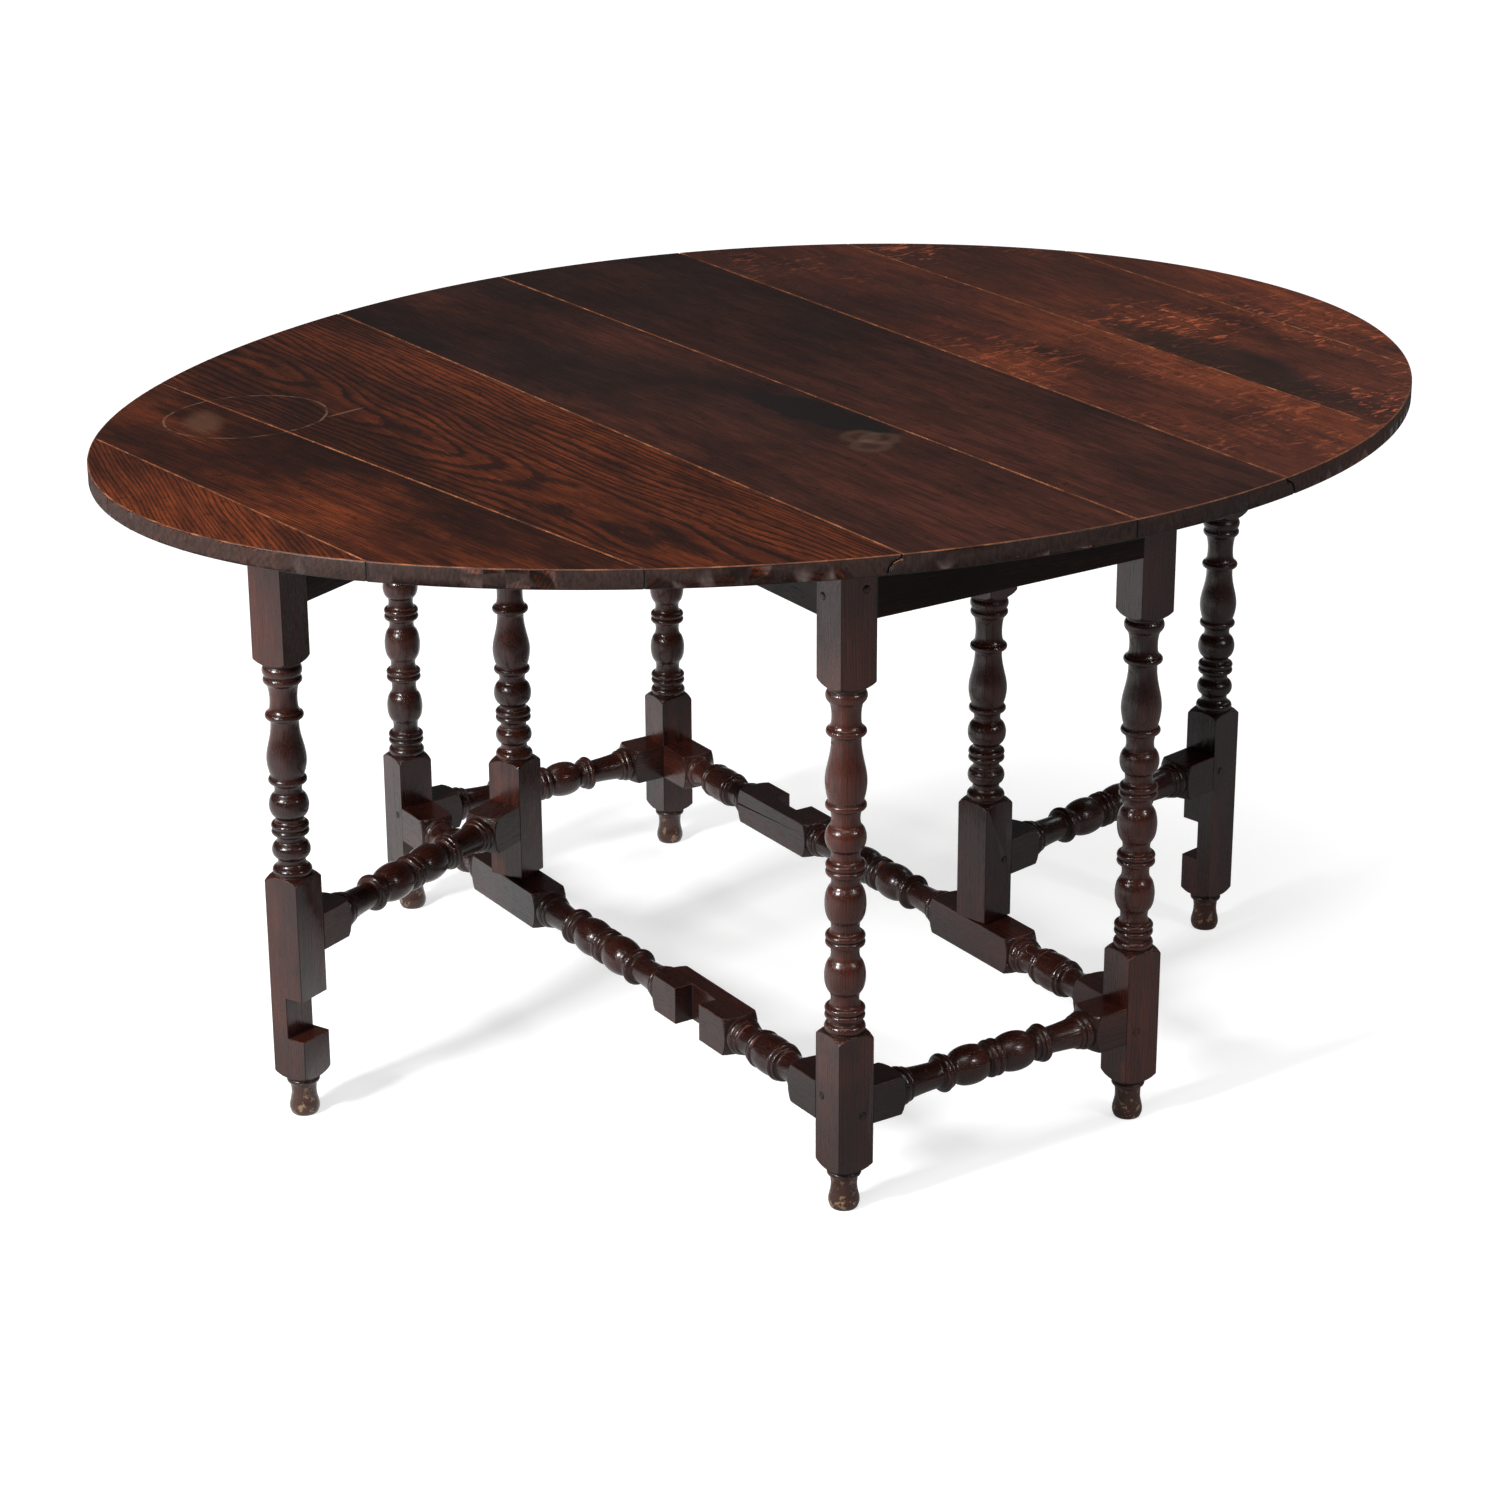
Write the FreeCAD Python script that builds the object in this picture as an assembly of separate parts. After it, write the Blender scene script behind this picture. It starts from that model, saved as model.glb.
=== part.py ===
import FreeCAD, Part
import math
import os

# Gateleg table of turned oak: a fixed frame with a two-board top, two swinging gates and two drop leaves.
# Millimetres, +Z up. X runs along the frame and Y runs across it, towards the back leaf. The frame and gates
# are made about the middle of the frame, the top and leaves about the middle of the fixed top. Each is then
# moved so that the origin is on the floor under the middle of the whole top.

os.makedirs("parts", exist_ok=True)
V = FreeCAD.Vector

# Frame
LEG = 42.0                        # side of every leg, post and stretcher square
HALF = LEG / 2
FRAME_X = 457.0                   # leg centre from the middle, along the frame
FRAME_Y = 183.0                   # leg centre from the middle, across the frame
TOP_HEIGHT = 735.0
TOP_THICK = 20.0
UNDERSIDE = TOP_HEIGHT - TOP_THICK

# Heights of the square blocks left on the legs
FOOT_TOP = 52.0
LOW_BLOCK_TOP = 190.0
HIGH_BLOCK_BASE = 569.0
GATE_BLOCK_TOP = 270.0
GATE_HIGH_BLOCK_BASE = 517.0
SHOULDER = 7.0                    # length of the lathe-cut shoulder at a block's end
CORNER_RADIUS = HALF * math.sqrt(2) + 0.8

# Stretchers and rails
STRETCHER_Z = 95.0                # underside of the four frame stretchers
GATE_STRETCHER_Z = 185.0
APRON_BASE = 632.0
LONG_APRON_THICK = 36.0
END_APRON_THICK = 24.0
RAIL_DEEP = 64.0
RAIL_THICK = 24.0
BLOCK_INNER = 131.0               # long stretcher: inner ends of its two inner blocks
BLOCK_OUTER = 262.0
END_BLOCK = 44.0

# Gates
PIVOT_X = 197.0                   # post axis from the middle, on the centre line of the long stretcher
GATE_REACH = 392.0                # post axis to the axis of the gate leg
GATE_A_OPEN = 66.0                # degrees from closed, front gate
GATE_B_OPEN = 79.0                # degrees from closed, back gate
PIVOT_RADIUS = 10.0
PIVOT_FIT = 0.1
PIVOT_DEEP = 26.0
END_PLAY = 0.3                    # a post's shoulder to the wood above and below it
LEAF_PLAY = 0.8                   # top of a gate leg to the underside of its leaf
LAP_PLAY = 2.0                    # room on each side of a closed gate leg in its notch

# Mortise and tenon joints
TENON_THICK = 12.0
TENON_DEEP = 30.0
PEG_RADIUS = 3.6

# Top
OVAL_X = 571.0
OVAL_Y = 729.0
OVAL_EGG = 0.021                  # the hand-sawn oval is fuller at the front and narrower at the back
OVAL_SQUARE = 0.0055              # and a little fuller at its ends and sides than between them
OVAL_POINTS = 48
FRAME_MIDDLE = (-49.0, 9.1)       # from the origin to the middle of the frame
TOP_MIDDLE_Y = 15.2               # and to the middle of the fixed top
HINGE_Y = 229.0                   # rule joint: edge of the fixed top's upper face
HINGE_A_SKEW = 1.4                # degrees that the front hinge line is out of square with the frame
RULE_RADIUS = 13.0
RULE_GAP = 1.2
PIN_Z = UNDERSIDE + 2.0
HINGE_X = (-340.0, 0.0, 340.0)
PLATE_WIDE = 32.0
PLATE_THICK = 2.0
KNUCKLE_RADIUS = 3.4
PIN_RADIUS = 1.5
DOWEL_RADIUS = 4.0


# ---------------------------------------------------------------- plain helpers

def box(x0, x1, y0, y1, z0, z1):
    return Part.makeBox(x1 - x0, y1 - y0, z1 - z0, V(x0, y0, z0))


def rod(radius, start, end):
    axis = end - start
    return Part.makeCylinder(radius, axis.Length, start, axis)


def half_turn(shape):
    turned = shape.copy()
    turned.rotate(V(0, 0, 0), V(0, 0, 1), 180)
    return turned


def mirror_x(shape):
    return shape.mirror(V(0, 0, 0), V(1, 0, 0))


def mirror_y(shape):
    return shape.mirror(V(0, 0, 0), V(0, 1, 0))


def compound(shapes):
    return Part.makeCompound(shapes)


def along_x(shape):
    """Lay an upright bar along +X, its foot at the origin."""
    laid = shape.copy()
    laid.rotate(V(0, 0, 0), V(0, 1, 0), 90)
    return laid


def along_y(shape):
    laid = shape.copy()
    laid.rotate(V(0, 0, 0), V(1, 0, 0), -90)
    return laid


def moved(shape, x, y, z):
    copy = shape.copy()
    copy.translate(V(x, y, z))
    return copy


# ---------------------------------------------------------------- turning

# A turned outline is a list of (length, radii) steps along the axis. One radius is a straight run to it,
# two are an arc through the first to the second, and more are a curve through evenly spaced radii.

def bead(length, peak, waist):
    return [(length, (peak, waist))]


def twin_rings(length, peak, waist):
    return [(length / 2, (peak, waist + 1.5)), (length / 2, (peak, waist))]


def disc_ring(peak, waist):
    return [(7.5, (peak, waist + 2.0)), (4.5, (waist + 3.0, waist))]


def ball(length, peak, waist):
    steps = 6
    swell = [1 - (2 * k / steps - 1) ** 2 for k in range(1, steps + 1)]
    return [(length, tuple(waist + (peak - waist) * s ** 0.7 for s in swell))]


def vase(length, peak):
    return [(length, (peak - 0.9, peak, peak - 1.3, peak - 3.7, peak - 5.6, peak - 6.1))]


def neck(length, middle, end):
    return [(length, (middle, end))]


def run(length, radius):
    return [(length, (radius,))]


def reverse(start_radius, steps):
    """The same outline walked from its other end."""
    ends = [start_radius] + [radii[-1] for _, radii in steps]
    back = []
    for i in range(len(steps) - 1, -1, -1):
        length, radii = steps[i]
        back.append((length, tuple(reversed(radii[:-1])) + (ends[i],)))
    return back


def lathe(start_radius, steps, total=None):
    """Solid of revolution about +Z from the origin, its steps stretched to the total length."""
    drawn = sum(length for length, _ in steps)
    scale = 1.0 if total is None else total / drawn
    z, r = 0.0, start_radius
    edges = [Part.LineSegment(V(0, 0, 0), V(r, 0, 0)).toShape()]
    for length, radii in steps:
        dz = length * scale / len(radii)
        points = [V(r, 0, z)] + [V(radius, 0, z + dz * (i + 1)) for i, radius in enumerate(radii)]
        if len(radii) == 1:
            curve = Part.LineSegment(points[0], points[1])
        elif len(radii) == 2:
            curve = Part.Arc(points[0], points[1], points[2])
        else:
            curve = Part.BSplineCurve()
            curve.interpolate(points)
        edges.append(curve.toShape())
        z, r = points[-1].z, radii[-1]
    edges.append(Part.LineSegment(V(r, 0, z), V(0, 0, z)).toShape())
    edges.append(Part.LineSegment(V(0, 0, z), V(0, 0, 0)).toShape())
    return Part.Face(Part.Wire(edges)).revolve(V(0, 0, 0), V(0, 0, 1), 360)


def squared(turned, length):
    """Keep what lies inside the square bar that the piece was turned from."""
    return turned.common(box(-HALF, HALF, -HALF, HALF, 0, length))


RISE = [(SHOULDER, (26.6, CORNER_RADIUS))]          # from the turned part up to a block
FALL = [(SHOULDER, (26.6, 18.5))]                   # from a block down to the turned part


def block(length):
    return run(length, CORNER_RADIUS)


FOOT = ([(6, (15.2, 16.0)), (30, (15.6, 14.2, 13.4, 13.6, 14.6))]
        + bead(6, 17.6, 16.0) + run(3, 18.5) + RISE)

LEG_TURNING = (FALL + bead(10, 20.9, 17.0) + run(4, 16.0) + twin_rings(14, 20.5, 16.0) + neck(14, 14.3, 15.5)
               + ball(36, 20.9, 15.5) + neck(15, 14.3, 16.0) + twin_rings(14, 20.1, 16.0)
               + neck(12, 14.3, 15.5) + ball(38, 20.9, 15.5) + neck(11, 14.3, 16.0)
               + twin_rings(15, 20.1, 16.0) + neck(12, 14.3, 15.3) + ball(26, 20.6, 15.3)
               + neck(17, 14.3, 16.5) + bead(8, 20.6, 17.5) + vase(66, 20.9) + run(3, 16.5)
               + bead(8, 20.2, 17.0) + run(4, 15.0) + neck(20, 14.6, 16.0) + run(3, 18.0)
               + bead(12, 20.7, 18.0) + run(3, 18.5) + RISE)

GATE_TURNING = (FALL + bead(9, 20.7, 17.0) + neck(9, 14.6, 15.3) + ball(18, 20.2, 15.3) + neck(8, 14.3, 16.0)
                + twin_rings(14, 19.8, 16.0) + neck(6, 14.3, 15.3) + ball(26, 20.9, 15.3)
                + neck(11, 14.3, 16.5) + bead(8, 20.2, 17.0) + vase(60, 20.9) + run(3, 16.5)
                + bead(8, 20.2, 17.0) + run(4, 15.0) + neck(24, 14.4, 16.0) + run(3, 18.0)
                + bead(8, 20.4, 18.0) + bead(12, 20.8, 18.5) + run(2, 18.5) + RISE)

# One half of a stretcher's turning, from a block to the middle of its central rings
STRETCHER_HALF = (FALL + bead(9, 20.6, 17.5) + bead(5, 18.6, 16.4) + neck(38, 14.7, 14.0) + run(1.5, 16.0)
                  + disc_ring(20.6, 15.2) + neck(7, 14.2, 15.0) + ball(38, 20.9, 15.0) + run(2, 16.0)
                  + bead(7.5, 20.0, 17.3))
STRETCHER_TURNING = STRETCHER_HALF + reverse(CORNER_RADIUS, STRETCHER_HALF)

# A barrel drum between ring pairs, at each end of the long stretchers
DRUM_TURNING = (FALL + bead(9, 20.6, 17.5) + bead(5, 18.4, 16.0) + neck(17, 14.8, 15.0) + run(1.5, 17.0)
                + bead(5, 19.4, 18.0) + bead(6, 20.9, 19.2) + neck(30, 20.9, 19.2) + bead(6, 20.9, 18.0)
                + bead(5, 19.4, 17.0) + run(1.5, 15.0) + neck(22, 14.8, 16.2) + bead(6, 19.0, 18.5) + RISE)


def turned_bar(start_radius, sections):
    """A square bar turned in sections, each (steps, length)."""
    steps = []
    for section, length in sections:
        drawn = sum(step for step, _ in section)
        steps += [(step * length / drawn, radii) for step, radii in section]
    total = sum(length for _, length in sections)
    return squared(lathe(start_radius, steps), total)


# ---------------------------------------------------------------- joints in the wood

def peg(tip, head):
    """A riven oak peg with a slightly domed head, from its tip to the face that it stands proud of."""
    axis = head - tip
    shaft = lathe(PEG_RADIUS - 0.6, [(3, (PEG_RADIUS,)), (axis.Length - 3, (PEG_RADIUS,)), (0.9, (2.9, 1.2))])
    turn = FreeCAD.Rotation(V(0, 0, 1), axis)
    shaft.Placement = FreeCAD.Placement(tip, turn)
    return shaft


def peg_hole(tip, head):
    return rod(PEG_RADIUS, tip, head + (head - tip).normalize() * 4)


def screw(head, direction, length, radius=2.0):
    """A slotted countersunk wood screw. The head's top is at the first point."""
    turned = lathe(radius * 2, [(radius, (radius,)), (length - radius - 2, (radius,)), (2, (0.4,))])
    turned = turned.cut(box(-radius * 2, radius * 2, -0.35, 0.35, -1, 0.7))
    turned.Placement = FreeCAD.Placement(head, FreeCAD.Rotation(V(0, 0, 1), direction))
    return turned


def screw_hole(head, direction, length, radius=2.0):
    hole = lathe(radius * 2, [(radius, (radius,)), (length - radius, (radius,))])
    hole.Placement = FreeCAD.Placement(head, FreeCAD.Rotation(V(0, 0, 1), direction))
    return hole


# Tenons of the frame at the corner with positive X and Y. Where two meet in a leg, one passes the other.
LONG_TENON_Z = (STRETCHER_Z + 22, STRETCHER_Z + 38)
END_TENON_Z = (STRETCHER_Z + 4, STRETCHER_Z + 20)
LEG_FACE_X = FRAME_X - HALF
LEG_FACE_Y = FRAME_Y - HALF
OUTER_X = FRAME_X + HALF
OUTER_Y = FRAME_Y + HALF
LONG_APRON_Y = OUTER_Y - LONG_APRON_THICK / 2
END_APRON_X = OUTER_X - END_APRON_THICK / 2
TENON_HALF = TENON_THICK / 2
APRON_TENON_Z = (APRON_BASE + 6, UNDERSIDE - 12)

LONG_STRETCHER_TENON = box(LEG_FACE_X, LEG_FACE_X + TENON_DEEP, FRAME_Y - TENON_HALF, FRAME_Y + TENON_HALF,
                           *LONG_TENON_Z)
END_STRETCHER_TENON = box(FRAME_X - TENON_HALF, FRAME_X + TENON_HALF, LEG_FACE_Y, LEG_FACE_Y + TENON_DEEP,
                          *END_TENON_Z)
LONG_APRON_TENON = box(LEG_FACE_X, END_APRON_X - TENON_HALF - 1, LONG_APRON_Y - TENON_HALF,
                       LONG_APRON_Y + TENON_HALF, *APRON_TENON_Z)
END_APRON_TENON = box(END_APRON_X - TENON_HALF, END_APRON_X + TENON_HALF, LEG_FACE_Y,
                      LEG_FACE_Y + TENON_DEEP, *APRON_TENON_Z)
CORNER_TENONS = [LONG_STRETCHER_TENON, END_STRETCHER_TENON, LONG_APRON_TENON, END_APRON_TENON]

# Pegs of one corner, each from its tip to the outer face of the leg
LONG_PEG_X = LEG_FACE_X + 11
END_PEG_Y = LEG_FACE_Y + 13
CORNER_PEGS = [(V(LONG_PEG_X, OUTER_Y - 34, z), V(LONG_PEG_X, OUTER_Y, z))
               for z in (sum(LONG_TENON_Z) / 2, APRON_BASE + 22, UNDERSIDE - 22)]
CORNER_PEGS += [(V(OUTER_X - 28, END_PEG_Y, z), V(OUTER_X, END_PEG_Y, z))
                for z in (sum(END_TENON_Z) / 2, APRON_BASE + 32, UNDERSIDE - 30)]
CORNER_PEG_HOLES = [peg_hole(tip, head) for tip, head in CORNER_PEGS]


def four_corners(shape):
    """A shape at the (+X, +Y) corner, repeated at the four corners."""
    right = [shape, mirror_y(shape)]
    return right + [mirror_x(s) for s in right]


# ---------------------------------------------------------------- fixed frame

def fixed_leg():
    bar = turned_bar(14.0, [(FOOT, FOOT_TOP), (block(1), LOW_BLOCK_TOP - FOOT_TOP),
                            (LEG_TURNING, HIGH_BLOCK_BASE - LOW_BLOCK_TOP),
                            (block(1), UNDERSIDE - HIGH_BLOCK_BASE)])
    bar.translate(V(FRAME_X, FRAME_Y, 0))
    return bar.cut(CORNER_TENONS).cut(CORNER_PEG_HOLES)


def long_stretcher():
    """Back stretcher: pivot block under the post at +X, notched block at -X."""
    drum_length = FRAME_X - HALF - END_BLOCK - BLOCK_OUTER
    inner_block = BLOCK_OUTER - BLOCK_INNER
    drum_back = reverse(CORNER_RADIUS, DRUM_TURNING)
    bar = turned_bar(CORNER_RADIUS, [(block(1), END_BLOCK), (drum_back, drum_length),
                                     (block(1), inner_block), (STRETCHER_TURNING, 2 * BLOCK_INNER),
                                     (block(1), inner_block), (DRUM_TURNING, drum_length),
                                     (block(1), END_BLOCK)])
    bar = moved(along_x(bar), -LEG_FACE_X, FRAME_Y, STRETCHER_Z + HALF)
    bar = bar.fuse([LONG_STRETCHER_TENON, mirror_x(LONG_STRETCHER_TENON)])
    bar = bar.cut(rod(PIVOT_RADIUS + PIVOT_FIT, V(PIVOT_X, FRAME_Y, STRETCHER_Z + LEG - PIVOT_DEEP - 1),
                      V(PIVOT_X, FRAME_Y, STRETCHER_Z + LEG)))
    bar = bar.cut(gate_notch(STRETCHER_Z - 1, STRETCHER_Z + LEG + 1))
    return bar.cut(CORNER_PEG_HOLES + [mirror_x(hole) for hole in CORNER_PEG_HOLES]).removeSplitter()


def gate_notch(z0, z1):
    """Room for the outer half of the closed back gate leg."""
    x = PIVOT_X - GATE_REACH
    return box(x - HALF - LAP_PLAY, x + HALF + LAP_PLAY, FRAME_Y - 0.5, OUTER_Y + 1, z0, z1)


def end_stretcher():
    block_length = 34.0
    bar = turned_bar(CORNER_RADIUS, [(block(1), block_length),
                                     (STRETCHER_TURNING, 2 * (LEG_FACE_Y - block_length)),
                                     (block(1), block_length)])
    bar = moved(along_y(bar), FRAME_X, -LEG_FACE_Y, STRETCHER_Z + HALF)
    bar = bar.fuse([END_STRETCHER_TENON, mirror_y(END_STRETCHER_TENON)])
    return bar.cut(CORNER_PEG_HOLES + [mirror_y(hole) for hole in CORNER_PEG_HOLES]).removeSplitter()


def long_apron():
    """Back apron, halved over the closed gate leg, with the socket for the post's top pivot."""
    board = box(-LEG_FACE_X, LEG_FACE_X, OUTER_Y - LONG_APRON_THICK, OUTER_Y, APRON_BASE, UNDERSIDE)
    board = board.fuse([LONG_APRON_TENON, mirror_x(LONG_APRON_TENON)])
    board = board.cut(rod(PIVOT_RADIUS + PIVOT_FIT, V(PIVOT_X, FRAME_Y, APRON_BASE),
                          V(PIVOT_X, FRAME_Y, APRON_BASE + PIVOT_DEEP + 1)))
    board = board.cut(gate_notch(APRON_BASE - 1, UNDERSIDE + 1))
    holes = CORNER_PEG_HOLES + [mirror_x(hole) for hole in CORNER_PEG_HOLES]
    return board.cut(holes + BLOCK_SCREW_HOLES).removeSplitter()


def end_apron():
    board = box(OUTER_X - END_APRON_THICK, OUTER_X, -LEG_FACE_Y, LEG_FACE_Y, APRON_BASE, UNDERSIDE)
    board = board.fuse([END_APRON_TENON, mirror_y(END_APRON_TENON)])
    holes = CORNER_PEG_HOLES + [mirror_y(hole) for hole in CORNER_PEG_HOLES]
    return board.cut(holes + BLOCK_SCREW_HOLES).removeSplitter()


# Glue blocks inside the aprons, which hold the fixed top down
BLOCK_SIDE = 24.0
BLOCK_LENGTH = 70.0
LONG_INNER_Y = OUTER_Y - LONG_APRON_THICK
END_INNER_X = OUTER_X - END_APRON_THICK
LONG_BLOCK_X = (-300.0, 0.0, 300.0)


def block_screw_places():
    """(head, direction, length) of each glue block's two screws."""
    places = []
    low = UNDERSIDE - BLOCK_SIDE
    for side in (-1, 1):
        for x in LONG_BLOCK_X:
            inner = side * (LONG_INNER_Y - BLOCK_SIDE)
            middle = side * (LONG_INNER_Y - BLOCK_SIDE / 2)
            places.append((V(x - 20 * side, inner, low + 8), V(0, side, 0), 40.0))
            places.append((V(x + 20 * side, middle, low), V(0, 0, 1), 38.0))
        inner = side * (END_INNER_X - BLOCK_SIDE)
        middle = side * (END_INNER_X - BLOCK_SIDE / 2)
        places.append((V(inner, -20, low + 8), V(side, 0, 0), 38.0))
        places.append((V(middle, 20, low), V(0, 0, 1), 38.0))
    return places


BLOCK_SCREWS = block_screw_places()
BLOCK_SCREW_HOLES = [screw_hole(*place) for place in BLOCK_SCREWS]


def glue_blocks():
    blocks = []
    low = UNDERSIDE - BLOCK_SIDE
    half = BLOCK_LENGTH / 2
    for x in LONG_BLOCK_X:
        blocks.append(box(x - half, x + half, LONG_INNER_Y - BLOCK_SIDE, LONG_INNER_Y, low, UNDERSIDE))
        blocks.append(mirror_y(blocks[-1]))
    blocks.append(box(END_INNER_X - BLOCK_SIDE, END_INNER_X, -half, half, low, UNDERSIDE))
    blocks.append(mirror_x(blocks[-1]))
    return compound([b.cut(BLOCK_SCREW_HOLES) for b in blocks])


# ---------------------------------------------------------------- gates

# A gate is made closed, along +X from its post on the Z axis, its inner face at +Y, then swung open.
GATE_TENONS = [box(HALF - TENON_DEEP, HALF, -TENON_HALF, TENON_HALF,
                   GATE_STRETCHER_Z + 7, GATE_STRETCHER_Z + LEG - 7),
               box(HALF - TENON_DEEP, HALF, -5, 5, APRON_BASE - RAIL_DEEP + 10, APRON_BASE - 10)]
GATE_PEGS = [(V(x, HALF - 34, z), V(x, HALF, z))
             for x in (9.0, GATE_REACH - 9.0)
             for z in (GATE_STRETCHER_Z + HALF, APRON_BASE - 44, APRON_BASE - 22)]
GATE_PEGS = [(V(tip.x, -tip.y, tip.z), V(head.x, -head.y, head.z)) for tip, head in GATE_PEGS]
GATE_PEG_HOLES = [peg_hole(tip, head) for tip, head in GATE_PEGS]


def far_end(shape):
    """A shape at the post, mirrored to the gate leg's side of the gate."""
    return moved(mirror_x(shape), GATE_REACH, 0, 0)


def gate_post():
    base = STRETCHER_Z + LEG + END_PLAY
    top = APRON_BASE - END_PLAY
    bar = turned_bar(CORNER_RADIUS, [(block(1), GATE_BLOCK_TOP - base),
                                     (GATE_TURNING, GATE_HIGH_BLOCK_BASE - GATE_BLOCK_TOP),
                                     (block(1), top - GATE_HIGH_BLOCK_BASE)])
    bar = moved(bar, 0, 0, base)
    pivot_low = rod(PIVOT_RADIUS, V(0, 0, base - PIVOT_DEEP), V(0, 0, base + 1))
    pivot_high = rod(PIVOT_RADIUS, V(0, 0, top - 1), V(0, 0, top + PIVOT_DEEP))
    return bar.fuse([pivot_low, pivot_high]).cut(GATE_TENONS + GATE_PEG_HOLES).removeSplitter()


def gate_leg():
    top = UNDERSIDE - LEAF_PLAY
    bar = turned_bar(14.0, [(FOOT, FOOT_TOP), (block(1), GATE_BLOCK_TOP - FOOT_TOP),
                            (GATE_TURNING, GATE_HIGH_BLOCK_BASE - GATE_BLOCK_TOP),
                            (block(1), top - GATE_HIGH_BLOCK_BASE)])
    lower_lap = box(-HALF - 1, HALF + 1, -0.5, HALF + 1, STRETCHER_Z - LAP_PLAY, STRETCHER_Z + LEG + LAP_PLAY)
    upper_lap = box(-HALF - 1, HALF + 1, -0.5, HALF + 1, APRON_BASE - LAP_PLAY, top + 1)
    bar = moved(bar.cut([lower_lap, upper_lap]), GATE_REACH, 0, 0)
    return bar.cut([far_end(tenon) for tenon in GATE_TENONS] + GATE_PEG_HOLES).removeSplitter()


def gate_stretcher():
    length = GATE_REACH - LEG
    block_length = 40.0
    bar = turned_bar(CORNER_RADIUS, [(block(1), block_length), (STRETCHER_TURNING, length - 2 * block_length),
                                     (block(1), block_length)])
    bar = moved(along_x(bar), HALF, 0, GATE_STRETCHER_Z + HALF)
    tenons = [GATE_TENONS[0], far_end(GATE_TENONS[0])]
    return bar.fuse(tenons).cut(GATE_PEG_HOLES).removeSplitter()


def gate_rail():
    board = box(HALF, GATE_REACH - HALF, -RAIL_THICK / 2, RAIL_THICK / 2,
                APRON_BASE - RAIL_DEEP, APRON_BASE - LAP_PLAY)
    tenons = [GATE_TENONS[1], far_end(GATE_TENONS[1])]
    return board.fuse(tenons).cut(GATE_PEG_HOLES).removeSplitter()


def gate_pegs():
    return compound([peg(tip, head) for tip, head in GATE_PEGS])


def swung(shape, opening, back):
    """Place a closed gate on the front stretcher and open it, or the same on the back stretcher."""
    placed = shape.copy()
    placed.rotate(V(0, 0, 0), V(0, 0, 1), -opening)
    placed.translate(V(-PIVOT_X, -FRAME_Y, 0))
    return half_turn(placed) if back else placed


# ---------------------------------------------------------------- top and leaves

# Lines between the boards, as (Y at the middle, slope). The leaf boards are tapered, as cut from the log.
SEAM_TOP = (10.0, 0.029)
SEAMS_A = [(-488.0, 0.121), (-657.0, 0.085)]
SEAMS_B = [(424.0, 0.003), (613.0, -0.02)]
FAR = 800.0                       # beyond every edge of the top


def oval_slab():
    points = []
    for i in range(OVAL_POINTS):
        angle = 2 * math.pi * i / OVAL_POINTS
        reach = 1 + OVAL_EGG * math.sin(3 * angle) + OVAL_SQUARE * math.cos(4 * angle)
        points.append(V(OVAL_X * reach * math.cos(angle), OVAL_Y * reach * math.sin(angle), UNDERSIDE))
    rim = Part.BSplineCurve()
    rim.interpolate(points, PeriodicFlag=True)
    return Part.Face(Part.Wire([rim.toShape()])).extrude(V(0, 0, TOP_THICK))


def to_front(shape):
    """Turn a piece of the back hinge line to the front one."""
    turned = half_turn(shape)
    turned.rotate(V(0, 0, 0), V(0, 0, 1), HINGE_A_SKEW)
    return turned


def strip(low, high):
    """Prism between two seam lines, each (Y at the middle, slope)."""
    corners = [V(x, line[0] + line[1] * x, UNDERSIDE - 5)
               for line, ends in ((low, (-FAR, FAR)), (high, (FAR, -FAR))) for x in ends]
    wire = Part.makePolygon(corners + corners[:1])
    return Part.Face(wire).extrude(V(0, 0, TOP_THICK + 10))


def rule_section(gap):
    """What lies beyond the rule joint on the +Y side, its face set out from the fixed top by the gap."""
    radius = RULE_RADIUS + gap
    step = PIN_Z + radius
    edge = HINGE_Y + gap
    outer = HINGE_Y + radius
    top = TOP_HEIGHT + 5
    low = UNDERSIDE - 5
    bend = V(0, HINGE_Y + radius * math.sin(math.pi / 4), PIN_Z + radius * math.cos(math.pi / 4))
    edges = [Part.LineSegment(V(0, edge, top), V(0, edge, step - 0.05 * gap)).toShape()]
    start = V(0, edge, step - 0.05 * gap)
    edges.append(Part.Arc(start, bend, V(0, outer, PIN_Z)).toShape())
    edges.append(Part.LineSegment(V(0, outer, PIN_Z), V(0, outer, low)).toShape())
    edges.append(Part.LineSegment(V(0, outer, low), V(0, FAR, low)).toShape())
    edges.append(Part.LineSegment(V(0, FAR, low), V(0, FAR, top)).toShape())
    edges.append(Part.LineSegment(V(0, FAR, top), V(0, edge, top)).toShape())
    face = Part.Face(Part.Wire(edges))
    return moved(face, -FAR, 0, 0).extrude(V(2 * FAR, 0, 0))


def dowel_places(seam, xs):
    return [(V(x, seam[0] + seam[1] * x - 22, TOP_HEIGHT - TOP_THICK / 2),
             V(x, seam[0] + seam[1] * x + 22, TOP_HEIGHT - TOP_THICK / 2)) for x in xs]


DOWELS_TOP = dowel_places(SEAM_TOP, (-420, -140, 140, 420))
DOWELS_A = dowel_places(SEAMS_A[0], (-240, 40, 330)) + dowel_places(SEAMS_A[1], (-120, 160))
DOWELS_B = dowel_places(SEAMS_B[0], (-260, 20, 300)) + dowel_places(SEAMS_B[1], (-120, 160))


def dowels(places):
    return [rod(DOWEL_RADIUS, start, end) for start, end in places]


def hinge_screw_places(leaf_side):
    """Screws of the three hinges of the back leaf, in the fixed plates or in the leaf plates."""
    offsets = (RULE_RADIUS + 15, RULE_RADIUS + 37) if leaf_side else (-14, -36)
    return [(V(x + dx, HINGE_Y + dy, UNDERSIDE), V(0, 0, 1), 14.0)
            for x in HINGE_X for dy in offsets for dx in (-9, 9)]


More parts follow.
